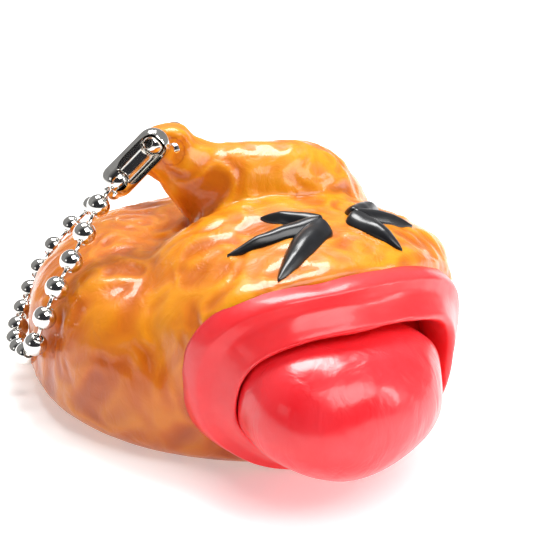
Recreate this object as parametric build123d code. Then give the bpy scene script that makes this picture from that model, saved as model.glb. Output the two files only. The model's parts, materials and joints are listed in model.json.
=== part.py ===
"""A squeeze-toy keychain: a hollow soft vinyl coil with a face, a tongue
bladder that pops out between its lips, and a ball chain through its tip.

Millimetres, +Z up, face towards -Y. The origin is the middle of the flat
foot that the toy stands on.
"""
import os
from math import cos, radians, sin, sqrt
from build123d import *

# ---- soft vinyl body ----
wall = 1.8                      # thickness of the moulded skin
base_half_width = 22.9          # lowest coil, outside, across the chain hole
base_half_depth = 21.4          # and along it
foot_radius = 16.8              # flat disc that the toy stands on
foot_round_height = 4.9         # where the rounded foot meets the side
foot_cut = 0.15                 # the foot is cut flat this far above its lowest point
shoulder_height = 7.6           # where the upright side starts to lean in
ridge_radius = 11.5             # top of the lowest coil, from the middle
ridge_height = 16.6
crown_dip = 1.0                 # dip in the middle, under the upper coil
crown_height = ridge_height - crown_dip

# ---- muzzle that carries the face ----
muzzle_x = 2.5                  # the face sits a little to one side
muzzle_half_width = 18.4
muzzle_half_height = 10.9
muzzle_floor = 0.1              # its underside above the foot
muzzle_height = muzzle_floor + muzzle_half_height
muzzle_start_y = -6.0           # where the muzzle leaves the coil
muzzle_dome_depth = 13.0
seat_radius = 26.0              # upright cylinder that the lips seat on
seat_centre_y = 5.5

# ---- lips and mouth ----
lip_aside = 1.8                 # lips to one side of the muzzle's middle, and below it
lip_drop = 0.4
lip_margin_side = 3.1           # bare skin beside the lips, and above them
lip_margin_top = 1.2
lip_thickness = 4.0
lip_edge_round = 2.0
mouth_aside = 0.3               # mouth to one side of the lips' middle, and below it
mouth_drop = 1.3
band_side = 3.3                 # mean breadth of the lips at the corners, and above and below
band_top = 2.7
spigot_wall = 1.0               # sleeve of the lips inside the skin

# ---- tongue bladder ----
tongue_aside = 2.1              # it leans to one side of the mouth, and sits low in it
tongue_drop = 0.2
tongue_room_side = 3.3          # mean room between tongue and mouth, at the sides and above
tongue_room_top = 0.75
bladder_wall = 0.8
tongue_cap_depth = 9.5          # length of the domed end
tongue_reach = 12.0             # how far the dome stands out of the seat
collar_clearance = 0.4          # behind the spigot when popped out
collar_overlap_side = 0.8       # how far the collar reaches behind the sleeve
collar_overlap_top = 0.2
collar_side_room = 0.39         # between the collar and the skin in front of it
collar_thickness = 1.4

# ---- eyes ----
eye_relief = 0.6                # how far the eyes stand out of the skin
prong_root_width = 2.7
prong_tip_width = 0.9
# each stroke runs from the root to an end: beside the muzzle's middle, and Y
left_eye_root = (-0.3, -11.4)
left_eye_tips = ((-4.4, -6.0), (-10.4, -10.9), (-9.5, -18.6))
right_eye_root = (3.3, -10.7)
right_eye_tips = ((9.5, -6.1), (10.5, -11.3), (4.7, -18.3))

# ---- upper coil and tip, in the frame turned to the chain hole ----
hole_turn = -30.0               # the hole's axis, turned from +Y about Z
hole_play = 0.15                # between the beads and the hole
hole_across = -8.1              # place of the hole's axis, across and above the crown
hole_rise = 9.6
boss_wall = 0.7                 # skin around the hole
boss_front = 1.3                # the two faces of the boss along the hole
boss_back = 4.7
tip_offset = (-1.6, 3.2, -0.9)  # middle of the tip from the front end of the hole's frame
tip_radii = (3.2, 2.6, 3.0)
# across, along the hole's axis, above the crown, radius
upper_coil = (
    (8.1, 10.5, -2.4, 5.6),
    (7.6, 8.2, 1.4, 5.4),
    (5.5, 4.8, 4.7, 5.2),
    (1.0, 3.7, 5.0, 4.9),
    (-3.8, 3.6, 5.2, 4.7),
    (-7.6, 3.4, 7.6, 3.2),
)

# ---- ball chain ----
bead_diameter = 2.4
bead_wall = 0.22
bead_hole = 0.5                 # radius of a bead's two holes
link_wire = 0.22                # radius of a link's neck
link_gap = 0.1                  # between the two link balls in a bead
link_play = 0.005               # between a link's ball and the rim it hangs on
loop_spaces = 22                # spaces between beads, from the connector's foot to the hole
connector_length = 8.6
connector_play = 0.27           # between the connector and the sides of its beads
connector_end_play = 0.2        # and their ends
connector_wall = 0.28
connector_window = 2.3          # width of the window
connector_slot = 0.8            # width of the slots at the ends
fold_levels = 6                 # pairs of beads, front and back, that fold together
beads_in_hole = 2               # beads on the axis of the chain hole
connector_lean = (-3.2, -1.8, -3.2)     # the way the connector hangs
connector_aside = 1.75          # its top bead from the hole's axis, across and up
connector_lift = 1.3
connector_clearance = 0.45      # between the connector and the face of the boss
# route round the coil: turn forwards about Z, gap between bead and side, height
loop_route = (
    (26.0, -5.2, 16.7),
    (33.0, -1.3, 12.6),
    (33.5, -0.1, 9.6),
    (28.5, 0.1, 7.0),
    (20.0, 0.1, 5.6),
    (6.0, 0.1, 4.9),
    (-9.0, 0.2, 5.9),
    (-24.0, 0.6, 8.8),
    (-37.0, -0.8, 13.0),
    (-46.0, -5.4, 18.6),
)

# ---- sizes that follow from those above ----
lip_x = muzzle_x - lip_aside
lip_height = muzzle_height - lip_drop
lip_half_width = muzzle_half_width - lip_margin_side
lip_half_height = muzzle_half_height - lip_margin_top
mouth_x = lip_x + mouth_aside
mouth_height = lip_height - mouth_drop
mouth_half_width = lip_half_width - band_side
mouth_half_height = lip_half_height - band_top
collar_half_width = mouth_half_width + collar_overlap_side
collar_half_height = mouth_half_height + collar_overlap_top
skin_bend = seat_radius - wall  # inside of the skin behind the lips
collar_edge = max(collar_half_width + mouth_x, collar_half_width - mouth_x) + collar_side_room
collar_depth = seat_radius - sqrt(skin_bend ** 2 - collar_edge ** 2)
spigot_length = collar_depth - collar_clearance     # from the front of the seat, inwards
tongue_x = mouth_x - tongue_aside
tongue_height = mouth_height - tongue_drop
tongue_half_width = mouth_half_width - tongue_room_side
tongue_half_height = mouth_half_height - tongue_room_top
hole_radius = bead_diameter / 2 + hole_play
hole_height = crown_height + hole_rise
connector_radius = bead_diameter / 2 + connector_play + connector_wall

hang = Plane.XY.rotated((0, 0, hole_turn))
UP = Vector(0, 0, 1)


def in_hang(point):
    """A place given across, along and above the chain hole's axis."""
    return hang.from_local_coords(Vector(*point))


# ---------------------------------------------------------------- body
def base_coil(inset):
    """Lowest coil: rounded foot, upright side and leaning shoulder, oval from above."""
    side = base_half_width - inset
    top = ridge_height - inset
    outline = Curve() + [
        Line((0, inset - foot_cut), (foot_radius, inset - foot_cut)),
        EllipticalCenterArc((foot_radius, foot_round_height), side - foot_radius,
                            foot_round_height + foot_cut - inset, start_angle=270, arc_size=90),
        Line((side, foot_round_height), (side, shoulder_height)),
        EllipticalCenterArc((ridge_radius, shoulder_height), side - ridge_radius,
                            top - shoulder_height, start_angle=0, arc_size=90),
        Line((ridge_radius, top), (0, crown_height - inset)),
        Line((0, crown_height - inset), (0, inset - foot_cut)),
    ]
    round_coil = revolve(Plane.XZ * make_face(outline), Axis.Z)
    depth_share = (base_half_depth - inset) / side
    return Rot(0, 0, hole_turn) * scale(round_coil, by=(1, depth_share, 1))


def seat(extra):
    """Upright cylinder that the lips sit on, larger by `extra`; its lower end is the flat foot."""
    height = 3 * (ridge_height + muzzle_half_height)
    return Pos(0, seat_centre_y, height / 2 - extra) * Cylinder(seat_radius + extra, height)


def oval_bar(half_width, half_height, middle, start_y, end_y):
    """Oval bar along Y through middle, which is (x, z)."""
    start = Plane((middle[0], start_y, middle[1]), x_dir=(1, 0, 0), z_dir=(0, -1, 0))
    return extrude(start * Ellipse(half_width, half_height), start_y - end_y)


def bullet(half_width, half_height, middle, flat_y, dome_y, dome_depth):
    """Oval bar from flat_y to dome_y that ends in a dome; dome_depth has the dome's sign."""
    way = 1 if dome_depth > 0 else -1
    outline = Curve() + [
        Line((0, flat_y), (half_width, flat_y)),
        Line((half_width, flat_y), (half_width, dome_y)),
        EllipticalCenterArc((0, dome_y), half_width, abs(dome_depth), start_angle=0,
                            arc_size=90 * way),
        Line((0, dome_y + dome_depth), (0, flat_y)),
    ]
    round_bullet = revolve(make_face(outline), Axis.Y)
    oval = scale(round_bullet, by=(1, 1, half_height / half_width))
    return Pos(middle[0], 0, middle[1]) * oval


def muzzle(inset):
    """Swelling that carries the face, cut to the seat in front."""
    front = seat_centre_y - seat_radius - lip_thickness
    swelling = bullet(muzzle_half_width - inset, muzzle_half_height - inset,
                      (muzzle_x, muzzle_height), front, muzzle_start_y,
                      muzzle_dome_depth - inset)
    return swelling & seat(-inset)


def coil_stretch(inset, stations):
    """Upper coil: round sections carried along their middles."""
    middles = [in_hang((across, along, crown_height + rise))
               for across, along, rise, radius in stations]
    path = Spline(*middles)
    rings = []
    for middle, station in zip(middles, stations):
        along = path.tangent_at(path.param_at_point(middle))
        rings.append(Plane(middle, z_dir=along) * Circle(station[3] - inset))
    return loft(rings)


def hole_bar(radius, start, end):
    """Round bar on the axis of the chain hole."""
    foot = Plane(in_hang((hole_across, start, hole_height)), z_dir=hang.y_dir)
    return extrude(foot * Circle(radius), end - start)


def tip():
    """Rounded tip of the upper coil with the boss for the chain hole."""
    nub = scale(Sphere(1), by=tip_radii)
    across, along, rise = tip_offset
    middle = in_hang((hole_across + across, along, hole_height + rise))
    nub = Pos(*middle) * Rot(0, 0, hole_turn) * nub
    return nub + hole_bar(hole_radius + boss_wall, boss_front, boss_back)


def skin_outside():
    """Everything that the vinyl skin encloses."""
    return (base_coil(0) & seat(0)) + muzzle(0) + coil_stretch(0, upper_coil) + tip()


def spigot(extra, length):
    """Oval bar that the sleeve of the lips fills, from the seat inwards."""
    front = seat_centre_y - seat_radius
    return oval_bar(mouth_half_width + extra, mouth_half_height + extra,
                    (mouth_x, mouth_height), front + length, front - 2 * lip_thickness)


def body_shell(outside):
    """Vinyl skin with the mouth opening and the chain hole cut through it."""
    cavity = (base_coil(wall) & seat(-wall)) + muzzle(wall)
    cavity += coil_stretch(wall, upper_coil[:-1])
    shell = outside - cavity - spigot(spigot_wall, spigot_length)
    return shell - hole_bar(hole_radius, boss_front - tip_radii[1], boss_back + tip_radii[1])


# ---------------------------------------------------------------- mouth
def lip_ring():
    """Fat oval lips on the seat, with a sleeve glued into the skin."""
    front = seat_centre_y - seat_radius
    pad = oval_bar(lip_half_width, lip_half_height, (lip_x, lip_height),
                   front + lip_half_width, front - 2 * lip_thickness)
    pad = (pad & seat(lip_thickness)) - seat(0)
    front_edge = pad.edges().sort_by(Axis.Y)[0]
    pad = fillet(front_edge, min(lip_edge_round, lip_thickness * 0.6))
    sleeve = spigot(spigot_wall, spigot_length) & seat(0)
    return pad + sleeve - spigot(0, spigot_length + 1)


def tongue_bar(extra, start_y):
    """Oval tongue with a domed end, larger by `extra`."""
    dome_y = seat_centre_y - seat_radius + tongue_cap_depth - tongue_reach
    return bullet(tongue_half_width + extra, tongue_half_height + extra,
                  (tongue_x, tongue_height), start_y, dome_y, -(tongue_cap_depth + extra))


def collar_front():
    """Y of the collar's front face when the tongue is out."""
    return seat_centre_y - seat_radius + collar_depth


def tongue_bladder():
    back = collar_front() + collar_thickness
    return tongue_bar(0, back) - tongue_bar(-bladder_wall, back + 1)


def tongue_collar():
    """Ring round the bladder's open end that stops it behind the sleeve."""
    front = collar_front()
    back = front + collar_thickness
    flange = oval_bar(collar_half_width, collar_half_height, (mouth_x, mouth_height), back, front)
    return flange - tongue_bar(0, back + 1)


# ---------------------------------------------------------------- eyes
def prong(root, tip_point):
    """Upright bar over a tapered stroke with round ends."""
    base = Vector(*root) + Vector(muzzle_x, 0)
    end = Vector(*tip_point) + Vector(muzzle_x, 0)
    along = (end - base).normalized()
    across = along.cross(UP)
    middle = base + (end - base) * 0.55
    outline = Spline(base - along * prong_root_width * 0.3,
                     middle + across * prong_root_width / 2,
                     end + along * prong_tip_width * 0.2)
    other = Spline(base - along * prong_root_width * 0.3,
                   middle - across * prong_root_width / 2,
                   end + along * prong_tip_width * 0.2)
    foot = Pos(0, 0, muzzle_height) * make_face(Curve() + [outline, other])
    return extrude(foot, muzzle_half_height * 2)


def eye(root, tips, outside):
    """Three raised strokes that meet at the inner end of the eye."""
    strokes = prong(root, tips[0]) + prong(root, tips[1]) + prong(root, tips[2])
    return (strokes & muzzle(-eye_relief)) - outside


# ---------------------------------------------------------------- chain
def connector_ends():
    """Middles of the two beads in the connector, its foot first."""
    top = in_hang((hole_across - connector_aside,
                   boss_front - connector_radius - connector_clearance,
                   hole_height + connector_lift))
    reach = connector_length - bead_diameter - 2 * (connector_wall + connector_end_play)
    return top + in_hang(connector_lean).normalized() * reach, top


def chain_places():
    """Middles of the beads, from the connector's foot round to its top."""
    foot, top = connector_ends()
    route = [foot]
    for turn, gap, height in loop_route:
        stand_off = bead_diameter / 2 + gap
        across = -(base_half_width + stand_off) * cos(radians(turn))
        along = -(base_half_depth + stand_off) * sin(radians(turn))
        route.append(in_hang((across, along, height)))
    last_in_hole = in_hang((hole_across, boss_back + bead_diameter * 0.2, hole_height))
    hanging = (foot - top).normalized()
    path = Spline(*route, last_in_hole, tangents=(hanging, -hang.y_dir))
    places = [path.position_at(k / loop_spaces) for k in range(loop_spaces + 1)]
    pitch = path.length / loop_spaces
    return places + [last_in_hole - hang.y_dir * pitch, top]


def bead_axes(places):
    """Each bead is drilled halfway between the ways to its neighbours."""
    ways = [(after - before).normalized() for before, after in zip(places, places[1:])]
    inner = [(a + b).normalized() for a, b in zip(ways, ways[1:])]
    return [ways[0]] + inner + [ways[-1]]


def link_ball():
    """Radius of a link's ball: it hangs on the rim of its hole and clears the other ball."""
    cavity = bead_diameter / 2 - bead_wall
    room = sqrt(cavity ** 2 - bead_hole ** 2) - link_gap / 2
    return (room ** 2 + bead_hole ** 2 - link_play ** 2) / (2 * (room + link_play))


def link_seat():
    """From a bead's middle to the middle of a link's ball."""
    return link_ball() + link_gap / 2


def bead(place, axis):
    """Hollow ball, drilled through."""
    ball = Sphere(bead_diameter / 2) - Sphere(bead_diameter / 2 - bead_wall)
    ball -= Cylinder(bead_hole, bead_diameter * 2)
    return Plane(place, z_dir=axis).location * ball


def link(place, axis, next_place, next_axis):
    """Wire neck with a ball inside each of the two beads it joins, turned in one piece."""
    start = place + axis * link_seat()
    end = next_place - next_axis * link_seat()
    length = (end - start).length
    ball = link_ball()
    shoulder = sqrt(ball ** 2 - link_wire ** 2)
    outline = Curve() + [
        ThreePointArc((0, -ball), (ball, 0), (link_wire, shoulder)),
        Line((link_wire, shoulder), (link_wire, length - shoulder)),
        ThreePointArc((link_wire, length - shoulder), (ball, length), (0, length + ball)),
        Line((0, length + ball), (0, -ball)),
    ]
    turned = revolve(Plane.XZ * make_face(outline), Axis.Z)
    return Plane(start, z_dir=end - start).location * turned


def connector(places, axes):
    """Pressed tube with a window, round ends and a slot at each end."""
    foot = places[0]
    top = places[-1]
    along = (top - foot).normalized()
    middle = (top + foot) / 2
    straight = connector_length - 2 * connector_radius
    def capsule(radius):
        body = Cylinder(radius, straight)
        return body + Pos(0, 0, straight / 2) * Sphere(radius) + Pos(0, 0, -straight / 2) * Sphere(radius)
    window_way = -hang.y_dir
    window_way = (window_way - along * window_way.dot(along)).normalized()
    frame = Plane(middle, x_dir=window_way, z_dir=along)
    shell = capsule(connector_radius) - capsule(connector_radius - connector_wall)
    shell -= Pos(connector_radius, 0, 0) * Box(2 * connector_radius, connector_window, straight)
    shell = frame.location * shell
    for place, axis, sign in ((foot, axes[0], 1), (top, axes[-1], -1)):
        way = axis * sign
        end_way = (place - middle).normalized()
        side = end_way.cross(way)
        slot = Plane(place, x_dir=way, z_dir=side).location * Pos(connector_radius, 0, 0) * Box(
            2 * connector_radius, 2 * connector_slot, connector_slot)
        shell -= slot
        shell -= extrude(Plane(place, z_dir=way) * Circle(connector_slot / 2 + 0.1), 2 * connector_radius)
    return shell


def chain_bodies(count):
    """Rigid groups of the loop, top first: bead numbers and the links between them.

    The top group is the connector's two beads, those in the chain hole and the
    next one behind it. Each fold then holds one bead of the front strand, one of
    the back strand and the links they hang from. The last group is the rest.
    """
    last_up = count - 1 - beads_in_hole - 1
    top_beads = [0] + list(range(last_up, count))
    groups = [(top_beads, list(range(last_up, count - 1)))]
    for level in range(1, fold_levels + 1):
        groups.append(([level, last_up - level], [level - 1, last_up - level]))
    rest = list(range(fold_levels + 1, last_up - fold_levels))
    groups.append((rest, [fold_levels] + rest))
    return groups


def fold_pivots(places, axes, level):
    """The front and back link balls that a fold turns on."""
    upper_front = level - 1
    upper_back = len(places) - 1 - beads_in_hole - level
    return (places[upper_front] + axes[upper_front] * link_seat(),
            places[upper_back] - axes[upper_back] * link_seat())


def save(shape, name):
    """Write one sub-part to its own file."""
    export_step(shape, f"parts/{name}.step")


def save_chain():
    """Every bead in a file of its own, and each group's links in one file."""
    places = chain_places()
    axes = bead_axes(places)
    for number, (place, axis) in enumerate(zip(places, axes), start=1):
        save(bead(place, axis), f"bead_{number:02d}")
    for group, (beads, links) in enumerate(chain_bodies(len(places))):
        wires = [link(places[k], axes[k], places[k + 1], axes[k + 1]) for k in links]
        save(Compound(children=wires), f"links_{group}")
    save(connector(places, axes), "connector")
    for level in range(1, fold_levels + 2):
        front, back = fold_pivots(places, axes, level)
        print(f"fold {level} hinges on {tuple(front)} and {tuple(back)}")


if __name__ == "__main__":
    os.makedirs("parts", exist_ok=True)
    outside = skin_outside()
    save(body_shell(outside), "body_shell")
    save(lip_ring(), "lip_ring")
    save(tongue_bladder(), "tongue_bladder")
    save(tongue_collar(), "tongue_collar")
    save(eye(left_eye_root, left_eye_tips, outside), "left_eye")
    save(eye(right_eye_root, right_eye_tips, outside), "right_eye")
    save_chain()
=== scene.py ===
"""Squeeze toy keychain: the finished looks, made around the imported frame. Metres, +Z up, face to -Y."""
import json

import bpy
import numpy as np
from mathutils import Matrix, Vector


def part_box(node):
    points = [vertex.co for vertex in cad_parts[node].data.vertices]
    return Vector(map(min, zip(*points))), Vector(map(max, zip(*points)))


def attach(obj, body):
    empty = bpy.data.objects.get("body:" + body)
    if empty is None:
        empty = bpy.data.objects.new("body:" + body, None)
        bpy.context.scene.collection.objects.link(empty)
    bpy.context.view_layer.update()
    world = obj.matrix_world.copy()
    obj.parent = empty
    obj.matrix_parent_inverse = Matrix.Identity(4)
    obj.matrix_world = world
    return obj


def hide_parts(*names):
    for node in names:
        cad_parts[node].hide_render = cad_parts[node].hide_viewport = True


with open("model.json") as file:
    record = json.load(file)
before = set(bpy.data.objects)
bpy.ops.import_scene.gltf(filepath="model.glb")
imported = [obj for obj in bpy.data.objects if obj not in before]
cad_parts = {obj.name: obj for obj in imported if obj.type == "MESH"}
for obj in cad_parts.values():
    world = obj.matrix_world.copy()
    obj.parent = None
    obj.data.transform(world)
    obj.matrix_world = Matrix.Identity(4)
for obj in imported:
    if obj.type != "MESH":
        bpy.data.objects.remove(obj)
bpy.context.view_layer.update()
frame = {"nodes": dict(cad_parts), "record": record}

# ------------------------------------------------------------------ camera
# A long lens looks down on the toy from its left front, a little tilted,
# as when it is held up to a camera on a table.
azimuth = np.radians(-30.0)
elevation = np.radians(24.0)
tilt = np.radians(3.0)
camera_distance = 0.170
picture_width = 0.0605             # what the picture spans at the toy
aim_right, aim_up = 0.0039, 0.0109  # aim point, beside and above the middle of the foot

level_right = np.array([np.cos(azimuth), np.sin(azimuth), 0.0])
level_back = np.array([np.sin(azimuth), -np.cos(azimuth), 0.0])
back = level_back * np.cos(elevation) + np.array([0, 0, np.sin(elevation)])
level_up = np.cross(back, level_right)
right = np.cos(tilt) * level_right + np.sin(tilt) * level_up
up = -np.sin(tilt) * level_right + np.cos(tilt) * level_up
place = right * aim_right + up * aim_up + back * camera_distance

lens = bpy.data.cameras.new("camera")
lens.sensor_width = 36.0
lens.lens = 36.0 * camera_distance / picture_width
lens.clip_start = 0.005
camera = bpy.data.objects.new("camera", lens)
turn = Matrix([[right[i], up[i], back[i]] for i in range(3)]).to_4x4()
camera.matrix_world = Matrix.Translation(Vector(place)) @ turn
bpy.context.scene.collection.objects.link(camera)
bpy.context.scene.camera = camera


# ------------------------------------------------------------------ studio
# A white table top that runs back out of sight, a wide soft box overhead, a
# squarer one in front, a strip on the right, and a pale room, dim where the viewer stands.
def put_mesh(name, points, faces, smooth=True):
    """New object from an array of points and a list of faces."""
    mesh = bpy.data.meshes.new(name)
    mesh.from_pydata(np.asarray(points, float).reshape(-1, 3).tolist(), [], faces)
    mesh.polygons.foreach_set("use_smooth", [smooth] * len(mesh.polygons))
    mesh.update()
    piece = bpy.data.objects.new(name, mesh)
    bpy.context.scene.collection.objects.link(piece)
    return piece


lit_place = (0, 0, 0.01)            # what every lamp faces, low in the toy


def soft_box(name, place, size, power):
    """Rectangular area light at place that faces the toy."""
    light = bpy.data.lights.new(name, "AREA")
    light.shape = "RECTANGLE"
    light.size, light.size_y = size
    light.energy = power
    lamp = bpy.data.objects.new(name, light)
    way = Vector(lit_place) - Vector(place)
    lamp.matrix_world = Matrix.Translation(Vector(place)) @ way.to_track_quat("-Z", "Y").to_matrix().to_4x4()
    bpy.context.scene.collection.objects.link(lamp)


def new_material(name, colour, roughness):
    """Principled material with its flat values set on the shader; gives material, shader, tree."""
    material = bpy.data.materials.new(name)
    material.use_nodes = True
    shader = material.node_tree.nodes["Principled BSDF"]
    shader.inputs["Base Color"].default_value = (*colour, 1.0)
    shader.inputs["Roughness"].default_value = roughness
    return material, shader, material.node_tree


table_half = 3.0
corners = [(-table_half, -table_half, 0), (table_half, -table_half, 0),
           (table_half, table_half, 0), (-table_half, table_half, 0)]
table = put_mesh("table", corners, [(0, 1, 2, 3)], smooth=False)
table_glow = 0.38                   # washes the shadows out, as a lit table does
white_table, table_shader, _ = new_material("white_table", (0.92, 0.92, 0.92), 0.7)
table_shader.inputs["Emission Color"].default_value = (1.0, 1.0, 1.0, 1.0)
table_shader.inputs["Emission Strength"].default_value = table_glow
table.data.materials.append(white_table)

soft_box("overhead_light", (0.06, 0.24, 0.45), (0.26, 0.20), 2.5)
soft_box("front_light", (0.060, -0.200, 0.340), (0.26, 0.24), 1.05)
soft_box("right_strip", (0.26, -0.20, 0.16), (0.05, 0.20), 0.28)
soft_box("left_light", (-0.40, -0.05, 0.16), (0.10, 0.10), 0.04)

room = bpy.data.worlds.new("room")
bpy.context.scene.world = room
room.use_nodes = True
paint = room.node_tree
way_out = paint.nodes.new("ShaderNodeTexCoord")
toward_viewer = paint.nodes.new("ShaderNodeVectorMath")
toward_viewer.operation = "DOT_PRODUCT"
toward_viewer.inputs[1].default_value = back
dim = paint.nodes.new("ShaderNodeValToRGB")
pale_end, dim_end = dim.color_ramp.elements
pale_end.position, pale_end.color = 0.30, (0.34, 0.34, 0.34, 1)
dim_end.position, dim_end.color = 0.75, (0.04, 0.04, 0.045, 1)
paint.links.new(way_out.outputs["Generated"], toward_viewer.inputs[0])
paint.links.new(toward_viewer.outputs["Value"], dim.inputs["Fac"])
paint.links.new(dim.outputs["Color"], paint.nodes["Background"].inputs["Color"])
paint.nodes["Background"].inputs["Strength"].default_value = 0.9
bpy.context.scene.view_settings.view_transform = "Standard"

# ------------------------------------------------------------------ vinyl skin
# The hollow soft vinyl moulding: a fat lower coil with the swollen face in
# front, the upper coil lying on it, and the tip with the chain hole. The
# surfaces are joined and remeshed into one skin, then given its lumps.
skin_wall = 0.0018
hole_turn = np.radians(-30.0)
across = np.array([np.cos(hole_turn), np.sin(hole_turn), 0.0])
along = np.array([-np.sin(hole_turn), np.cos(hole_turn), 0.0])
upward = np.array([0.0, 0.0, 1.0])
seat_radius = 0.026                # upright cylinder that the lips seat on
seat_centre_y = 0.0055
seat_front = seat_centre_y - seat_radius


def grid_faces(rows, columns, close_rows=False, close_columns=False):
    """Quads of a grid of rows by columns points, joined round where it closes."""
    down = np.arange(rows if close_rows else rows - 1)
    over = np.arange(columns if close_columns else columns - 1)
    i, j = np.meshgrid(down, over, indexing="ij")
    i2, j2 = (i + 1) % rows, (j + 1) % columns
    quads = [i * columns + j, i * columns + j2, i2 * columns + j2, i2 * columns + j]
    return np.stack(quads, -1).reshape(-1, 4)


def surface(name, points, close_columns=True, flip=False):
    """Closed skin over a grid: rows run pole to pole, columns run round; the poles are capped."""
    rows, columns, _ = points.shape
    faces = grid_faces(rows, columns, close_columns=close_columns)
    vertices = np.concatenate([points.reshape(-1, 3), points[0].mean(0)[None], points[-1].mean(0)[None]])
    first, last = np.arange(columns), (rows - 1) * columns + np.arange(columns)
    low, high = np.full(columns, rows * columns), np.full(columns, rows * columns + 1)
    start_cap = np.stack([low, np.roll(first, -1), first], -1)
    end_cap = np.stack([high, last, np.roll(last, -1)], -1)
    turned_round = -1 if flip else 1
    polygons = sum([part[:, ::turned_round].tolist() for part in (faces, start_cap, end_cap)], [])
    return put_mesh(name, vertices, polygons)


def lower_coil(inset, columns=160):
    """Profile (rounded foot, side, leaning shoulder, dipped crown) turned round Z on an oval."""
    side, depth = 0.0229 - inset, 0.0214 - inset
    foot, foot_rise = 0.0182, 0.0034
    shoulder_z, ridge_r, ridge_z, crown_z = 0.0076, 0.0115, 0.0166 - inset, 0.0156 - inset
    a = np.linspace(-np.pi / 2, 0, 8)
    foot_arc = np.stack([foot + (side - foot) * np.cos(a), foot_rise + (foot_rise - inset) * np.sin(a)], 1)
    b = np.linspace(0, np.pi / 2, 24)
    shoulder = np.stack([ridge_r + (side - ridge_r) * np.cos(b),
                         shoulder_z + (ridge_z - shoulder_z) * np.sin(b)], 1)
    flat = np.stack([np.linspace(0.001, foot, 10)[:-1], np.full(9, inset)], 1)
    crown = np.stack([np.linspace(ridge_r, 0.001, 10)[1:], np.linspace(ridge_z, crown_z, 10)[1:]], 1)
    profile = np.concatenate([flat, foot_arc, shoulder, crown])
    phi = np.linspace(0, 2 * np.pi, columns, endpoint=False)
    r, z = profile[:, :1], profile[:, 1:]
    local = np.stack([r * np.cos(phi), r * np.sin(phi) * depth / side, z + 0 * phi], -1)
    return local[..., :1] * across + local[..., 1:2] * along + local[..., 2:] * upward


def face_swelling(inset, rows=70, columns=120):
    """Oval sections along Y: the front face, cut to the seat, swells to the forehead, then a dome behind."""
    front_middle, full_middle = np.array([0.0011, 0.0106]), np.array([0.0025, 0.0110])
    front_half = np.array([0.0161, 0.0101]) - inset
    full_half = np.array([0.0184, 0.0109]) - inset
    s = np.linspace(0, 1, rows)[:, None]
    theta = np.linspace(0, 2 * np.pi, columns, endpoint=False)[None]
    depth_front, swell_end, dome_start, dome_end = seat_front + inset, -0.0120, -0.0060, 0.0070 - inset
    face_share, swell_share, dome_share = 0.18, 0.45, 0.55  # where each stretch of the rows ends
    face = np.clip(s / face_share, 0.02, 1)                 # out from the middle of the front face
    swell = np.clip((s - face_share) / 0.27, 0, 1)
    dome = np.clip((s - dome_share) / 0.45, 0, 0.999)
    grow = np.sin(swell * np.pi / 2)
    half = front_half * (1 - grow[..., None]) + full_half * grow[..., None]
    share = face * np.sqrt(1 - dome ** 2)
    middle = front_middle * (1 - grow[..., None]) + full_middle * grow[..., None]
    power = 2 / (2.5 - 0.5 * grow)                           # squarer where the lips sit
    x = middle[..., 0] + half[..., 0] * share * np.sign(np.cos(theta)) * np.abs(np.cos(theta)) ** power
    z = middle[..., 1] + half[..., 1] * share * np.sign(np.sin(theta)) * np.abs(np.sin(theta)) ** power
    y = np.where(s < face_share, depth_front, depth_front + (swell_end - depth_front) * swell)
    straight = np.clip((s - swell_share) / 0.1, 0, 1)
    y = np.where(s > swell_share, swell_end + (dome_start - swell_end) * straight, y)
    y = np.where(s > dome_share, dome_start + (dome_end - dome_start) * dome, y) + 0 * theta
    wrap = seat_radius - np.sqrt(seat_radius ** 2 - np.clip(x, -0.02, 0.021) ** 2)
    fade = np.clip((dome_start - y) / (dome_start - depth_front), 0, 1)
    return np.stack([x, y + wrap * fade, z], -1)


def smooth_path(stations, count):
    """Catmull-Rom curve through rows of numbers, sampled evenly between them."""
    pts = np.vstack([2 * stations[0] - stations[1], stations, 2 * stations[-1] - stations[-2]])
    t = np.linspace(0, len(stations) - 1 - 1e-9, count)
    k = t.astype(int)
    u = (t - k)[:, None]
    p0, p1, p2, p3 = pts[k], pts[k + 1], pts[k + 2], pts[k + 3]
    return 0.5 * (2 * p1 + (p2 - p0) * u + (2 * p0 - 5 * p1 + 4 * p2 - p3) * u ** 2
                  + (3 * p1 - p0 - 3 * p2 + p3) * u ** 3)


def tube(middles, radii, columns=72, first=upward):
    """Round sections of the given radii, square to the line of their middles."""
    way = np.gradient(middles, axis=0)
    way /= np.linalg.norm(way, axis=1, keepdims=True)
    side = np.cross(way, first)
    side /= np.linalg.norm(side, axis=1, keepdims=True)
    over = np.cross(side, way)
    phi = np.linspace(0, 2 * np.pi, columns, endpoint=False)[None, :, None]
    ring = np.cos(phi) * side[:, None] + np.sin(phi) * over[:, None]
    return middles[:, None] + radii[:, None, None] * ring


def domed(middles, radii, steps=10):
    """Adds domes to both ends of a line of middles and radii."""
    a = np.linspace(0.02, 1, steps, endpoint=False) * np.pi / 2
    first_way = (middles[1] - middles[0]) / np.linalg.norm(middles[1] - middles[0])
    start = middles[0] - first_way * radii[0] * np.cos(a)[:, None]
    way = (middles[-1] - middles[-2]) / np.linalg.norm(middles[-1] - middles[-2])
    end = middles[-1] + way * radii[-1] * np.cos(a[::-1])[:, None]
    return (np.vstack([start, middles, end]),
            np.concatenate([radii[0] * np.sin(a), radii, radii[-1] * np.sin(a[::-1])]))


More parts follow.
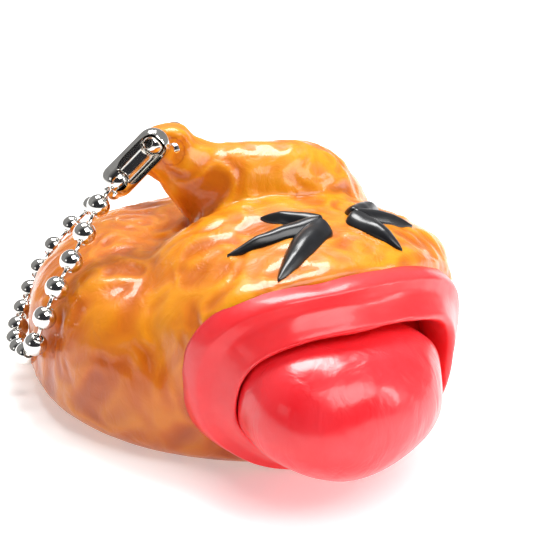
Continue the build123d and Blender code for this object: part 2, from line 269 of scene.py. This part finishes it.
# across the chain hole, along it, up, radius
coil_stations = np.array([
    (0.0081, 0.0105, 0.0132, 0.0056),
    (0.0076, 0.0082, 0.0170, 0.0054),
    (0.0055, 0.0048, 0.0203, 0.0052),
    (0.0010, 0.0037, 0.0206, 0.0049),
    (-0.0038, 0.0036, 0.0208, 0.0047),
    (-0.0076, 0.0034, 0.0232, 0.0032),
    (-0.0094, 0.0032, 0.0243, 0.0029)])


def upper_coil(inset, stations):
    """The coil's round sections carried along its curve and domed at both ends."""
    path = smooth_path(stations, 60)
    middles = path[:, :1] * across + path[:, 1:2] * along + path[:, 2:3] * upward
    return tube(*domed(middles, path[:, 3] - inset), first=along)


hole_across, hole_height = -0.0081, 0.0252
hole_radius, boss_radius = 0.00135, 0.0021


def hole_bar(name, radius, start, end, columns=48):
    """Round bar on the axis of the chain hole, from start to end along it."""
    middle = hole_across * across + hole_height * upward
    line = middle + np.linspace(start, end, 8)[:, None] * along
    return surface(name, tube(line, np.full(8, radius), columns))


def finish_modifiers(piece):
    """Applies every modifier of a piece to its mesh."""
    bpy.context.view_layer.update()
    evaluated = piece.evaluated_get(bpy.context.evaluated_depsgraph_get())
    mesh = bpy.data.meshes.new_from_object(evaluated)
    piece.modifiers.clear()
    piece.data = mesh
    return piece


def join_and_remesh(name, parts, voxel, smooth_steps):
    """One closed skin over several closed surfaces, its creases softened."""
    with bpy.context.temp_override(active_object=parts[0], selected_editable_objects=parts, object=parts[0]):
        bpy.ops.object.join()
    piece = parts[0]
    piece.name = name
    remesh = piece.modifiers.new("remesh", "REMESH")
    remesh.mode = "VOXEL"
    remesh.voxel_size = voxel
    remesh.use_smooth_shade = True
    soften = piece.modifiers.new("soften", "SMOOTH")
    soften.factor = 0.6
    soften.iterations = smooth_steps
    return finish_modifiers(piece)


def mesh_arrays(piece):
    """Vertex places and normals of a piece as arrays."""
    count = len(piece.data.vertices)
    places, normals = np.empty(count * 3), np.empty(count * 3, np.float32)
    piece.data.vertices.foreach_get("co", places)
    piece.data.vertex_normals.foreach_get("vector", normals)
    return places.reshape(-1, 3), normals.reshape(-1, 3).astype(float)


def waves(points, size, seed, count=28):
    """Smooth random field: a sum of sine waves of about one length, in directions drawn from the seed."""
    draw = np.random.default_rng(seed)
    ways = draw.normal(size=(count, 3))
    ways /= np.linalg.norm(ways, axis=1, keepdims=True)
    ways *= 2 * np.pi / size * draw.uniform(0.65, 1.45, (count, 1))
    return np.sin(points @ ways.T + draw.uniform(0, 2 * np.pi, count)).sum(1) * np.sqrt(2 / count)


skin_voxel, cavity_voxel = 0.00038, 0.0010
skin = join_and_remesh("skin", [
    surface("skin_base", lower_coil(0.0)),
    surface("skin_face", face_swelling(0.0)),
    surface("skin_coil", upper_coil(0.0, coil_stations)),
    hole_bar("skin_boss", boss_radius, 0.0013, 0.0047)], skin_voxel, 14)

points, normals = mesh_arrays(skin)
warp = 0.0016 * waves(points, 0.007, 9)[:, None] * np.array([[0.6, -0.5, 1.0]])
lumps = 0.00012 * waves(points, 0.0100, 3)
folds = -np.abs(waves(points * np.array([[1.0, 1.0, 0.7]]) + warp, 0.0052, 5))
pits = waves(points + 0.5 * warp, 0.0027, 11)
calm = np.clip((points[:, 2] - 0.0004) / 0.0030, 0, 1)          # the foot stays flat
near_lips = np.clip((points[:, 1] + 0.0195) / 0.0030, 0.15, 1)  # and so does the seat of the lips
fold_height, pit_height = 0.00008, 0.00004
points += normals * ((lumps + fold_height * folds + pit_height * pits) * calm * near_lips)[:, None]
points[:, 2] = np.maximum(points[:, 2], 0.0)
skin.data.vertices.foreach_set("co", points.ravel())
# This attribute is low in the folds and pits and high on the ridges; the skin material turns it into painted
# shade in the folds and painted light on the ridges.
fold_shade = skin.data.attributes.new("fold_shade", "FLOAT", "POINT")
fold_shade.data.foreach_set("value", np.clip(0.85 + 0.35 * folds + 0.10 * pits + 900 * lumps, 0, 1))
skin.data.update()

cavity = join_and_remesh("cavity", [
    surface("cavity_base", lower_coil(skin_wall)),
    surface("cavity_face", face_swelling(skin_wall)),
    surface("cavity_coil", upper_coil(skin_wall, coil_stations[:-2]))], cavity_voxel, 4)
mouth_middle = np.array([0.0010, 0.0, 0.0097])
mouth_half = np.array([0.0120, 0.0073])


def oval_bar(name, half_x, half_z, start_y, end_y, columns=96):
    """Straight oval bar along Y at the mouth."""
    theta = np.linspace(0, 2 * np.pi, columns, endpoint=False)
    y = np.linspace(start_y, end_y, 6)[:, None]
    ring = np.stack([mouth_middle[0] + half_x * np.cos(theta) + 0 * y, y + 0 * theta,
                     mouth_middle[2] + half_z * np.sin(theta) + 0 * y], -1)
    return surface(name, ring, flip=start_y < end_y)


sleeve_wall = 0.0010
opening = oval_bar("mouth_cut", mouth_half[0] + sleeve_wall, mouth_half[1] + sleeve_wall, -0.030, -0.0145)
chain_cut = hole_bar("chain_cut", hole_radius, -0.0015, 0.0080)
for cutter in (cavity, opening, chain_cut):
    cut = skin.modifiers.new(cutter.name, "BOOLEAN")
    cut.operation = "DIFFERENCE"
    cut.solver = "EXACT"
    cut.object = cutter
finish_modifiers(skin)
for cutter in (cavity, opening, chain_cut):
    bpy.data.objects.remove(cutter)
skin.data.polygons.foreach_set("use_smooth", [True] * len(skin.data.polygons))


def node(tree, kind, **settings):
    """Adds a shader node with its settings."""
    new = tree.nodes.new(kind)
    for key, value in settings.items():
        setattr(new, key, value)
    return new


def colour_steps(tree, factor, stops):
    """Colour ramp with the given (place, colour) stops, driven by factor."""
    ramp = node(tree, "ShaderNodeValToRGB")
    ramp.color_ramp.elements[0].position, ramp.color_ramp.elements[0].color = stops[0][0], (*stops[0][1], 1)
    ramp.color_ramp.elements[1].position, ramp.color_ramp.elements[1].color = stops[-1][0], (*stops[-1][1], 1)
    for place, colour in stops[1:-1]:
        ramp.color_ramp.elements.new(place).color = (*colour, 1)
    tree.links.new(factor, ramp.inputs["Fac"])
    return ramp.outputs["Color"]


def noise(tree, scale, detail=4.0, distortion=0.0, stretch=(1, 1, 1)):
    """Noise on the piece's own coordinates."""
    where = node(tree, "ShaderNodeTexCoord")
    shape = node(tree, "ShaderNodeMapping")
    shape.inputs["Scale"].default_value = stretch
    tree.links.new(where.outputs["Object"], shape.inputs["Vector"])
    texture = node(tree, "ShaderNodeTexNoise")
    texture.inputs["Scale"].default_value = scale
    texture.inputs["Detail"].default_value = detail
    texture.inputs["Distortion"].default_value = distortion
    tree.links.new(shape.outputs["Vector"], texture.inputs["Vector"])
    return texture.outputs["Fac"]


def bump(tree, shader, height, strength, distance):
    """Fine relief from a height."""
    relief = node(tree, "ShaderNodeBump")
    relief.inputs["Strength"].default_value = strength
    relief.inputs["Distance"].default_value = distance
    tree.links.new(height, relief.inputs["Height"])
    tree.links.new(relief.outputs["Normal"], shader.inputs["Normal"])


def mix(tree, kind, factor, first, second):
    """Blends two colours by a factor, which is a number or a socket."""
    blend = node(tree, "ShaderNodeMix", data_type="RGBA", blend_type=kind)
    for socket_name, value in (("Factor", factor), ("A", first), ("B", second)):
        socket = blend.inputs[socket_name]
        if isinstance(value, bpy.types.NodeSocket):
            tree.links.new(value, socket)
        else:
            socket.default_value = value
    return blend.outputs["Result"]


def vinyl_skin():
    """Glossy orange vinyl with painted light and shade: paler and yellower on the ridges, painted shade in
    the folds, painted shade towards the foot and painted light towards the top, with a cloudy tone at random.
    """
    material, shader, tree = new_material("vinyl_skin", (0.65, 0.18, 0.015), 0.36)
    fold = node(tree, "ShaderNodeAttribute", attribute_name="fold_shade")
    # Painted shade and light from the relief: darker and redder in the folds, paler and yellower on the
    # ridges.
    ridges = colour_steps(tree, fold.outputs["Fac"], [
        (0.05, (0.60, 0.105, 0.001)), (0.50, (0.74, 0.160, 0.002)), (0.95, (0.86, 0.24, 0.004))])
    cloud = colour_steps(tree, noise(tree, 110, 3, 0.5), [
        (0.35, (0.93, 0.88, 0.9)), (0.65, (1.03, 1.05, 1.0))])
    place = node(tree, "ShaderNodeTexCoord")
    split = node(tree, "ShaderNodeSeparateXYZ")
    tree.links.new(place.outputs["Object"], split.inputs["Vector"])
    height = node(tree, "ShaderNodeMapRange")
    height.inputs["From Min"].default_value, height.inputs["From Max"].default_value = 0.001, 0.018
    tree.links.new(split.outputs["Z"], height.inputs["Value"])
    # Painted shade and light by height: darker and browner towards the foot, paler and yellower towards the
    # top, where the light falls.
    low = colour_steps(tree, height.outputs["Result"], [
        (0.0, (0.72, 0.78, 1.5)), (0.5, (0.88, 0.82, 1.0)), (1.0, (1.10, 1.50, 2.2))])
    colour = mix(tree, "MULTIPLY", 1.0, mix(tree, "MULTIPLY", 1.0, ridges, cloud), low)
    tree.links.new(colour, shader.inputs["Base Color"])
    shader.inputs["Subsurface Weight"].default_value = 0.12
    shader.inputs["Subsurface Radius"].default_value = (1.0, 0.35, 0.10)
    shader.inputs["Subsurface Scale"].default_value = 0.0012
    shader.inputs["Coat Weight"].default_value = 0.45
    shader.inputs["Coat Roughness"].default_value = 0.07
    shader.inputs["Specular IOR Level"].default_value = 0.3
    bump(tree, shader, noise(tree, 520, 5, 1.0, (1.0, 1.0, 0.6)), 0.45, 0.0004)
    return material


skin.data.materials.clear()
skin.data.materials.append(vinyl_skin())
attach(skin, "toy")
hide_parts("body_shell")

# ------------------------------------------------------------------ lips
# A fat ring of soft pink-red vinyl moulded with a sleeve, pushed into the
# mouth opening and glued. Its band rises from a crisp rim to a rolled ridge
# that turns into the mouth.
def seat_y(x, extra=0.0):
    """Y of the upright seat cylinder at x."""
    return seat_centre_y - np.sqrt((seat_radius + extra) ** 2 - x ** 2)


def rounded_oval(theta, middle, half, power):
    """Oval whose corners fill out as power, which may follow the angle, grows past 2."""
    c, s = np.cos(theta), np.sin(theta)
    stretch = (np.abs(c) ** power + np.abs(s) ** power) ** (-1 / power)
    return np.stack([middle[0] + half[0] * stretch * c, middle[1] + half[1] * stretch * s], -1)


def by_corner(theta, corners):
    """Value that turns smoothly round the corners: upper right, upper left, lower left, lower right."""
    at = np.pi * np.array([0.25, 0.75, 1.25, 1.75, 2.25])
    wide = np.concatenate([theta, theta]) % (2 * np.pi)
    turned = np.where(wide < at[0], wide + 2 * np.pi, wide)[:len(theta)]
    k = np.clip(np.searchsorted(at, turned, side="right") - 1, 0, 3)
    u = (turned - at[k]) / (np.pi / 2)
    values = np.array([*corners, corners[0]])
    blend = u * u * (3 - 2 * u)
    return values[k] * (1 - blend) + values[k + 1] * blend


# share of the way from the outer rim to the mouth, and how far the face stands off the seat
lip_face = np.array([
    (0.0, -0.0004), (0.025, 0.0010), (0.09, 0.0018), (0.20, 0.0020), (0.40, 0.0023),
    (0.60, 0.0032), (0.76, 0.0040), (0.90, 0.0035), (0.975, 0.0022), (1.0, 0.0010)])
lip_root = -0.0008                 # how far the back of the lips sinks into the seat


def lip_surface(rows=200):
    """Ring whose section runs from the rim over the face, into the mouth and back along the sleeve."""
    theta = np.linspace(0, 2 * np.pi, rows, endpoint=False)
    outer = rounded_oval(theta, (0.0011, 0.0104), (0.0158, 0.0099), by_corner(theta, (2.2, 2.7, 2.6, 2.2)))
    inner = rounded_oval(theta, (-0.0001, 0.0093), (0.0114, 0.0067), by_corner(theta, (2.9, 2.7, 1.75, 2.2)))
    sleeve_in = rounded_oval(theta, (0.0010, 0.0093), (0.0120, 0.0070), 2.0)
    sleeve_out = rounded_oval(theta, (0.0010, 0.0093), (0.0129, 0.0079), 2.0)
    face = smooth_path(lip_face, 48)
    share = np.clip(face[:, 0], 0, 1)[None, :, None]
    flat = outer[:, None] * (1 - share) + inner[:, None] * share
    swell = 1 + 0.10 * np.sin(theta)[:, None]                # the upper lip is the fatter one
    front = np.stack([flat[..., 0], seat_y(flat[..., 0]) - face[None, :, 1] * swell, flat[..., 1]], -1)
    sleeve_end = seat_front + 0.0060
    t = np.linspace(0, 1, 14)[None, 1:, None]
    turn_in = t * t * (3 - 2 * t)
    inside = inner[:, None] * (1 - turn_in) + sleeve_in[:, None] * turn_in
    start_y = front[:, -1:, 1]
    inside = np.stack([inside[..., 0], start_y + (sleeve_end - start_y) * t[..., 0], inside[..., 1]], -1)
    t = np.linspace(0, 1, 8)[None]
    back_y = sleeve_end + (seat_y(sleeve_out[:, :1], lip_root) - sleeve_end) * t
    outside = np.stack([sleeve_out[:, :1] + 0 * t, back_y, sleeve_out[:, 1:] + 0 * t], -1)
    t = np.linspace(0, 1, 8)[None, 1:-1, None]
    under = sleeve_out[:, None] * (1 - t) + outer[:, None] * t
    under = np.stack([under[..., 0], seat_y(under[..., 0], lip_root), under[..., 1]], -1)
    return np.concatenate([front, inside, outside, under], 1)


lip_points = lip_surface()
lips = put_mesh("lips", lip_points, grid_faces(*lip_points.shape[:2], True, True)[:, ::-1].tolist())
lip_places, lip_normals = mesh_arrays(lips)
lip_lumps = 0.00005 * waves(lip_places, 0.0080, 21) + 0.000008 * waves(lip_places, 0.0022, 22)
lips.data.vertices.foreach_set("co", (lip_places + lip_normals * lip_lumps[:, None]).ravel())
speck_place, speck_radius = (-0.0080, -0.0205, 0.0185), 0.00055


def lip_vinyl():
    """Glossy pink-red vinyl whose tone varies at random, with one speck of eye paint."""
    material, shader, tree = new_material("lip_vinyl", (0.9, 0.06, 0.09), 0.30)
    tint = colour_steps(tree, noise(tree, 150, 4, 0.3), [
        (0.35, (0.94, 0.030, 0.040)), (0.65, (1.0, 0.055, 0.062))])
    where = node(tree, "ShaderNodeTexCoord")
    gap = node(tree, "ShaderNodeVectorMath", operation="DISTANCE")
    gap.inputs[1].default_value = speck_place
    tree.links.new(where.outputs["Object"], gap.inputs[0])
    speck = node(tree, "ShaderNodeMath", operation="LESS_THAN")
    speck.inputs[1].default_value = speck_radius
    tree.links.new(gap.outputs["Value"], speck.inputs[0])
    colour = mix(tree, "MIX", speck.outputs["Value"], tint, (0.02, 0.01, 0.01, 1))
    tree.links.new(colour, shader.inputs["Base Color"])
    shader.inputs["Subsurface Weight"].default_value = 0.45
    shader.inputs["Subsurface Radius"].default_value = (1.0, 0.15, 0.12)
    shader.inputs["Subsurface Scale"].default_value = 0.0025
    shader.inputs["Specular IOR Level"].default_value = 0.35
    shader.inputs["Coat Weight"].default_value = 0.30
    shader.inputs["Coat Roughness"].default_value = 0.12
    bump(tree, shader, noise(tree, 600, 3, 0.5), 0.22, 0.0002)
    return material


lips.data.materials.append(lip_vinyl())
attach(lips, "toy")
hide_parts("lip_ring")

# ------------------------------------------------------------------ tongue
# A thin bag of red vinyl, open to the inside of the toy, blown out through
# the lips by the squeeze; a collar round its open end stops it in the sleeve.
tongue_root_y = seat_front + 0.0078        # back of the collar
tongue_tip_y = seat_front - 0.0112
dome_start_y = seat_front - 0.0026


def tongue_surface(wall, rows=84, columns=144):
    """Sections along Y: oval in the sleeve, swollen to the mouth's outline in the lips, then a full dome."""
    s = np.linspace(0, 1, rows)[:, None]
    theta = np.linspace(0, 2 * np.pi, columns, endpoint=False)
    dome = np.clip((s - 0.4) / 0.6, 0, 1) * np.pi / 2 * 0.997
    fill = 2 / 2.35
    out, share = np.sin(dome) ** fill, np.cos(dome) ** fill
    y = np.where(s < 0.4, tongue_root_y + (dome_start_y - tongue_root_y) * s / 0.4,
                 dome_start_y + (tongue_tip_y + wall - dome_start_y) * out)
    swell = np.clip((seat_front + 0.0030 - y) / 0.0045, 0, 1)
    swell = swell * swell * (3 - 2 * swell)
    relax = np.clip((seat_front - 0.0030 - y) / 0.0070, 0, 1)
    half_x = 0.0087 + 0.0020 * swell - 0.0013 * relax - wall
    half_z = 0.00625 + 0.0004 * swell - 0.0001 * relax - wall
    narrow = rounded_oval(theta, (0, 0), (1, 1), 2.0)[None]
    mouth_shape = rounded_oval(theta, (0, 0), (1, 1), by_corner(theta, (2.7, 2.6, 1.85, 2.1)))[None]
    blend = (swell * (1 - relax))[..., None]
    outline = narrow * (1 - blend) + mouth_shape * blend
    x = -0.0011 - 0.0001 * swell - 0.0015 * relax + half_x * share * outline[..., 0]
    z = 0.0091 - 0.0001 * swell - 0.0001 * relax ** 2 + half_z * share * outline[..., 1]
    return np.stack([x, y + 0 * theta[None], z], -1)


bladder_wall = 0.0008
bag = np.concatenate([tongue_surface(bladder_wall)[::-1], tongue_surface(0.0)])
tongue = surface("tongue", bag)
bag_points, bag_normals = mesh_arrays(tongue)
free = np.clip((seat_front - 0.002 - bag_points[:, 1]) / 0.003, 0, 1)
lumps = (0.00008 * waves(bag_points, 0.0110, 31) + 0.000008 * waves(bag_points, 0.0025, 32)) * free
tongue.data.vertices.foreach_set("co", (bag_points + bag_normals * lumps[:, None]).ravel())


def tongue_vinyl():
    """Deep red stretched vinyl, very shiny, with fine flow lines that break up its gloss."""
    material, shader, tree = new_material("tongue_vinyl", (0.8, 0.02, 0.04), 0.28)
    tint = colour_steps(tree, noise(tree, 120, 4, 0.4), [
        (0.35, (0.94, 0.016, 0.026)), (0.65, (1.0, 0.040, 0.055))])
    tree.links.new(tint, shader.inputs["Base Color"])
    shader.inputs["Subsurface Weight"].default_value = 0.35
    shader.inputs["Subsurface Radius"].default_value = (1.0, 0.10, 0.10)
    shader.inputs["Subsurface Scale"].default_value = 0.0020
    shader.inputs["Specular IOR Level"].default_value = 0.4
    shader.inputs["Coat Weight"].default_value = 0.45
    shader.inputs["Coat Roughness"].default_value = 0.12
    bump(tree, shader, noise(tree, 420, 5, 1.2, (1.0, 1.0, 0.45)), 0.6, 0.0003)
    return material


red_vinyl = tongue_vinyl()
tongue.data.materials.append(red_vinyl)
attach(tongue, "tongue")
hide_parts("tongue_bladder")
collar = frame["nodes"]["tongue_collar"]
collar.data.materials.clear()
collar.data.materials.append(red_vinyl)


# ------------------------------------------------------------------ eyes
# Three fat strokes a side, moulded proud of the forehead and painted black:
# leaf shapes with a soft keel, pointed at the outer end.
def soften_grid(heights, steps=16):
    """Evens out a grid of heights by averaging each with its neighbours."""
    for _ in range(steps):
        wide = np.pad(heights, 1, mode="edge")
        heights = (wide[1:-1, 1:-1] * 2 + wide[:-2, 1:-1] + wide[2:, 1:-1]
                   + wide[1:-1, :-2] + wide[1:-1, 2:]) / 6
    return heights


stroke_crown, stroke_edge, stroke_root_depth = 0.00085, 0.00012, 0.0005
above_toy = 0.026                   # the strokes are dropped onto the forehead from here


def stroke(root, end, width, rows=44, columns=19):
    """Tapered stroke laid on the skin: round at the root, drawn to a point at the end, crowned across."""
    root, end = np.array(root), np.array(end)
    way = (end - root) / np.linalg.norm(end - root)
    over = np.array([-way[1], way[0]])
    s = np.linspace(0, 1, rows)[:, None]
    v = np.linspace(-1, 1, columns)[None]
    start = np.sqrt(np.clip(1 - (1 - np.clip(s / 0.16, 0, 1)) ** 2, 0, 1))
    arch = np.maximum(start * (1 - s ** 2.0) ** 0.75, 0.03)
    flat = root + (end - root) * s[..., None] + over * (v * arch * width / 2)[..., None]
    sheet = np.concatenate([flat, np.full((rows, columns, 1), above_toy)], -1)
    cover = put_mesh("stroke_laid", sheet, grid_faces(rows, columns).tolist())
    lay = cover.modifiers.new("lay", "SHRINKWRAP")
    lay.target = skin
    lay.wrap_method = "PROJECT"
    lay.use_project_z = True
    lay.use_negative_direction = True
    lay.use_positive_direction = False
    finish_modifiers(cover)
    laid = mesh_arrays(cover)[0].reshape(rows, columns, 3)
    bpy.data.objects.remove(cover)
    laid[..., 2] = soften_grid(laid[..., 2])
    crown = stroke_crown * (1 - np.abs(v) ** 2.4) * np.clip(arch * 1.6, 0.1, 1) + stroke_edge
    top, under = laid.copy(), laid.copy()
    top[..., 2] += crown
    under[..., 2] -= stroke_root_depth
    return top, under


def eye_piece(name, root, ends, widths):
    """The strokes of one eye in one mesh, each a closed shell."""
    vertices, faces, start = [], [], 0
    for end, width in zip(ends, widths):
        top, under = stroke(root, end, width)
        rows, columns, _ = top.shape
        size = rows * columns
        sheet = grid_faces(rows, columns)
        edge = np.concatenate([np.arange(columns), np.arange(1, rows) * columns + columns - 1,
                               (rows - 1) * columns + np.arange(columns - 1)[::-1],
                               np.arange(1, rows - 1)[::-1] * columns])
        after = np.roll(edge, -1)
        vertices += [top.reshape(-1, 3), under.reshape(-1, 3)]
        faces += [sheet[:, ::-1] + start, sheet + start + size,
                  np.stack([edge, after, after + size, edge + size], -1) + start]
        start += 2 * size
    return put_mesh(name, np.concatenate(vertices), np.concatenate(faces).tolist())


def eye_paint():
    """Satin black paint with faint brush streaks, thin and greyer in patches."""
    material, shader, tree = new_material("eye_paint", (0.008, 0.008, 0.010), 0.28)
    tint = colour_steps(tree, noise(tree, 400, 3), [
        (0.35, (0.003, 0.003, 0.004)), (0.70, (0.012, 0.013, 0.017))])
    tree.links.new(tint, shader.inputs["Base Color"])
    shader.inputs["Coat Weight"].default_value = 0.25
    shader.inputs["Coat Roughness"].default_value = 0.2
    bump(tree, shader, noise(tree, 900, 3), 0.15, 0.0001)
    return material


black_paint = eye_paint()
stroke_widths = (0.0025, 0.0027, 0.0033)
left_eye_lines = ((0.0022, -0.0116), ((-0.0022, -0.0068), (-0.0081, -0.0112), (-0.0066, -0.0186)))
right_eye_lines = ((0.0062, -0.0107), ((0.0124, -0.0060), (0.0132, -0.0113), (0.0075, -0.0180)))
for name, (root, ends) in (("left_eye", left_eye_lines), ("right_eye", right_eye_lines)):
    eye = eye_piece(name + "_strokes", root, ends, stroke_widths)
    eye.data.materials.append(black_paint)
    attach(eye, "toy")
    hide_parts(name)


# ------------------------------------------------------------------ ball chain
# Bright nickel ball chain: hollow balls rolled shut round two holes, held by
# dumb-bell wires whose ends sit inside the balls. The balls stay where the frame has them.
def nickel(name, colour, roughness):
    """Nickel plate, a little cloudy, with fine wear in its polish."""
    material, shader, tree = new_material(name, colour, roughness)
    shader.inputs["Metallic"].default_value = 1.0
    dark, light = [tuple(c * f for c in colour) for f in (0.86, 1.0)]
    tint = colour_steps(tree, noise(tree, 900, 3), [(0.35, dark), (0.6, light)])
    tree.links.new(tint, shader.inputs["Base Color"])
    bump(tree, shader, noise(tree, 1500, 2), 0.05, 0.0001)
    return material


def frame_along(way):
    """Two directions square to a way and to each other."""
    side = np.cross(way, upward if abs(way[2]) < 0.9 else across)
    side /= np.linalg.norm(side)
    return side, np.cross(way, side)


def turned(profile, place, way, columns=40):
    """A profile of (distance along the way, radius) turned round the way, from a place on it."""
    side, over = frame_along(way)
    phi = np.linspace(0, 2 * np.pi, columns, endpoint=False)
    ring = np.cos(phi)[:, None] * side + np.sin(phi)[:, None] * over
    return place + profile[:, None, :1] * way + profile[:, None, 1:] * ring[None]


bead_radius, bead_hole, bead_wall = 0.0012, 0.0005, 0.00022
bead_count = 25
bead_places = np.array([np.mean(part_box(f"bead_{k:02d}"), axis=0) for k in range(1, bead_count + 1)])
link_ways = np.diff(bead_places, axis=0)
link_ways /= np.linalg.norm(link_ways, axis=1, keepdims=True)
bead_ways = np.vstack([link_ways[:1], link_ways[:-1] + link_ways[1:], link_ways[-1:]])
bead_ways /= np.linalg.norm(bead_ways, axis=1, keepdims=True)
body_of = {held: body for body, group in frame["record"]["behaviour"]["bodies"].items() for held in group}


def bead_profile(rows=26):
    """Half circle from hole to hole, its ends rolled into the ball, and back inside."""
    start = np.arcsin(bead_hole * 1.12 / bead_radius)
    a = np.linspace(start, np.pi - start, rows)
    outer = np.stack([-np.cos(a), np.sin(a)], -1) * bead_radius
    lip = np.array([[outer[-1, 0] - 0.00003, bead_hole], [outer[-1, 0] - bead_wall, bead_hole]])
    inner = outer[2:-2][::-1] * (1 - bead_wall / bead_radius)
    return np.vstack([outer, lip, inner, lip[::-1] * [-1, 1]])


bead_nickel = nickel("bead_nickel", (0.86, 0.84, 0.80), 0.07)
profile = bead_profile()
for k in range(bead_count):
    node_name = f"bead_{k + 1:02d}"
    ball = turned(profile, bead_places[k], bead_ways[k])
    ball_faces = grid_faces(*ball.shape[:2], True, True).tolist()
    piece = put_mesh(f"ball_{k + 1:02d}", ball, ball_faces)
    piece.data.materials.append(bead_nickel)
    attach(piece, body_of[node_name])
    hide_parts(node_name)

# The wires: a thin neck with a ball at each end, inside the two balls it joins.
# Each rides with the group of the loop that folds together.
ball_seat, ball_end, neck = 0.00060, 0.00055, 0.00022
top_links = 3                                   # the links between the last four balls
fold_groups = 7


def wire_profile(length, steps=9):
    """Ball, thin neck, ball: (distance along, radius) from pole to pole."""
    shoulder = np.arccos(neck / ball_end)
    a = np.linspace(-np.pi / 2 + 0.05, shoulder, steps)
    first = np.stack([ball_end * np.sin(a), ball_end * np.cos(a)], -1)
    return np.vstack([first, [length, 0] + first[::-1] * [-1, 1]])


wire_nickel = nickel("wire_nickel", (0.82, 0.80, 0.76), 0.12)
loop_links = bead_count - 1
for group in range(fold_groups + 1):
    wires = []
    last = loop_links - top_links
    for k in range(loop_links):
        if group == (0 if k >= last else min(k + 1, last - k, fold_groups)):
            start = bead_places[k] + bead_ways[k] * ball_seat
            end = bead_places[k + 1] - bead_ways[k + 1] * ball_seat
            length = np.linalg.norm(end - start)
            grid = turned(wire_profile(length), start, (end - start) / length, 20)
            wires.append(surface(f"wire_{k + 1:02d}", grid))
    if len(wires) > 1:
        joined = {"active_object": wires[0], "object": wires[0], "selected_editable_objects": wires}
        with bpy.context.temp_override(**joined):
            bpy.ops.object.join()
    piece = wires[0]
    piece.name = f"wires_{group}"
    piece.data.materials.append(wire_nickel)
    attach(piece, body_of[f"links_{group}"])
    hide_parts(f"links_{group}")

# The connector: a tube pressed from nickel sheet and rolled over the first and
# last balls, with a long window, a hole for the lower ball and slots for the wires.
connector_radius, connector_wall = 0.00175, 0.00028
connector_half = 0.0043
foot, top = bead_places[0], bead_places[-1]
connector_way = (top - foot) / np.linalg.norm(top - foot)
connector_middle = (top + foot) / 2
window_way = -along - connector_way * np.dot(-along, connector_way)
window_way /= np.linalg.norm(window_way)


def capsule(inset, steps=14):
    """Tube with round ends: (distance along, radius) from pole to pole."""
    radius, straight = connector_radius - inset, connector_half - connector_radius
    a = np.linspace(0.05, np.pi / 2, steps)
    end = np.stack([straight + radius * np.cos(a), radius * np.sin(a)], -1)
    body = np.stack([np.linspace(straight, -straight, 12)[1:-1], np.full(10, radius)], -1)
    return np.vstack([end, body, end[::-1] * [-1, 1]])[::-1]


cut_depth = 0.004                   # past the wall on one side, short of the other


def slot_cutter(name, place, way, long_way, half_long, half_wide, power=4.0, columns=48):
    """Prism along a way whose section is a rounded rectangle."""
    cross_way = np.cross(way, long_way)
    phi = np.linspace(0, 2 * np.pi, columns, endpoint=False)
    outline = rounded_oval(phi, (0, 0), (half_long, half_wide), power)
    flat = outline[:, :1] * long_way + outline[:, 1:] * cross_way
    return surface(name, place + flat[None] + np.linspace(0, cut_depth, 4)[:, None, None] * way)


shell = surface("connector_shell", turned(capsule(0.0), connector_middle, connector_way, 64))
lower_exit = (bead_places[1] - foot) / np.linalg.norm(bead_places[1] - foot)
upper_exit = (bead_places[-2] - top) / np.linalg.norm(bead_places[-2] - top)
exit_side = window_way - lower_exit * np.dot(window_way, lower_exit)
exit_side /= np.linalg.norm(exit_side)
upper_side = connector_way - upper_exit * np.dot(connector_way, upper_exit)
upper_side /= np.linalg.norm(upper_side)
window_place = connector_middle + 0.0006 * connector_way
ball_hole_place = foot + 0.0002 * lower_exit
cutters = [
    surface("hollow", turned(capsule(connector_wall), connector_middle, connector_way, 64)),
    slot_cutter("window", window_place, window_way, connector_way, 0.0027, 0.00150),
    slot_cutter("ball_hole", ball_hole_place, exit_side, lower_exit, 0.00085, 0.00085, 2.0),
    slot_cutter("lower_slot", foot, lower_exit, exit_side, 0.0014, 0.00066),
    slot_cutter("upper_slot", top, upper_exit, upper_side, 0.0009, 0.00040)]
for cutter in cutters:
    cut = shell.modifiers.new(cutter.name, "BOOLEAN")
    cut.operation = "DIFFERENCE"
    cut.solver = "EXACT"
    cut.object = cutter
finish_modifiers(shell)
for cutter in cutters:
    bpy.data.objects.remove(cutter)
shell.data.set_sharp_from_angle(angle=np.radians(35))
shell.data.materials.clear()
shell.data.materials.append(nickel("connector_nickel", (0.84, 0.82, 0.78), 0.10))
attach(shell, "chain_top")
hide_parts("connector")
